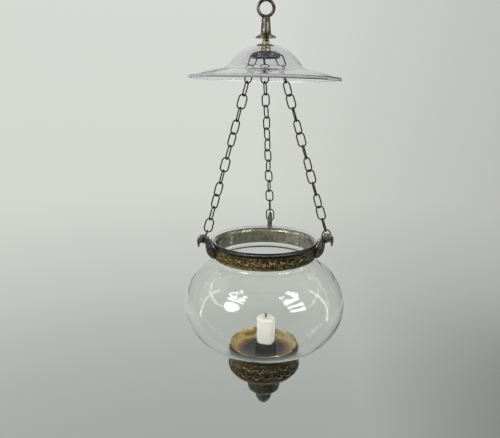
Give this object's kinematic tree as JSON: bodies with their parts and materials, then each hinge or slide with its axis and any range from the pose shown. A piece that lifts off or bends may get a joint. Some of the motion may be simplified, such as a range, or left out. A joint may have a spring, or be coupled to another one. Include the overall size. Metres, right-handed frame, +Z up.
{
  "type": "hanging candle lantern",
  "caption": "Hanging lantern: a glass bowl in an embossed brass collar on chains, with a candle dish inside, a finial cup below and a glass smoke bell above.",
  "frame": {"origin": "centre of the hanger ring's eye", "axes": "+Z up along the rod, the eye's axis along Y, +X to the right as hung"},
  "size_m": [0.2, 0.2, 0.504],
  "materials": {
    "antique_brass": "aged and lightly polished",
    "dark_brass": "dark antique patina with bright high points",
    "iron_wire": "near-black brown wire, dull sheen",
    "clear_glass": "clear blown glass with a slight grey tint",
    "leather": "dark washer leather",
    "candle_wax": "ivory candle wax, silky",
    "wick": "blackened cotton"
  },
  "bodies": {
    "root": {"hanger_ring": "antique_brass", "stem_pin": "antique_brass", "saucer_flange": "antique_brass", "neck_ferrule": "antique_brass", "clamp_nut": "antique_brass", "carrier_nut": "antique_brass", "suspension_rod": "antique_brass", "tie_bolt": "antique_brass", "jar_nut": "antique_brass", "drip_dish": "antique_brass", "chain_carrier": "dark_brass", "collar_band": "dark_brass", "hook_back": "dark_brass", "hook_left": "dark_brass", "hook_right": "dark_brass", "candle_socket": "dark_brass", "bottom_cup": "dark_brass", "finial_bulb": "dark_brass", "finial_tip": "dark_brass", "chain_back": "iron_wire", "chain_left": "iron_wire", "chain_right": "iron_wire", "end_ring_back": "iron_wire", "end_ring_left": "iron_wire", "end_ring_right": "iron_wire", "smoke_bell": "clear_glass", "glass_bowl": "clear_glass", "upper_washer": "leather", "lower_washer": "leather", "jar_washer": "leather", "dish_pad": "leather", "candle": "candle_wax", "candle_wick": "wick"}
  },
  "joints": []
}
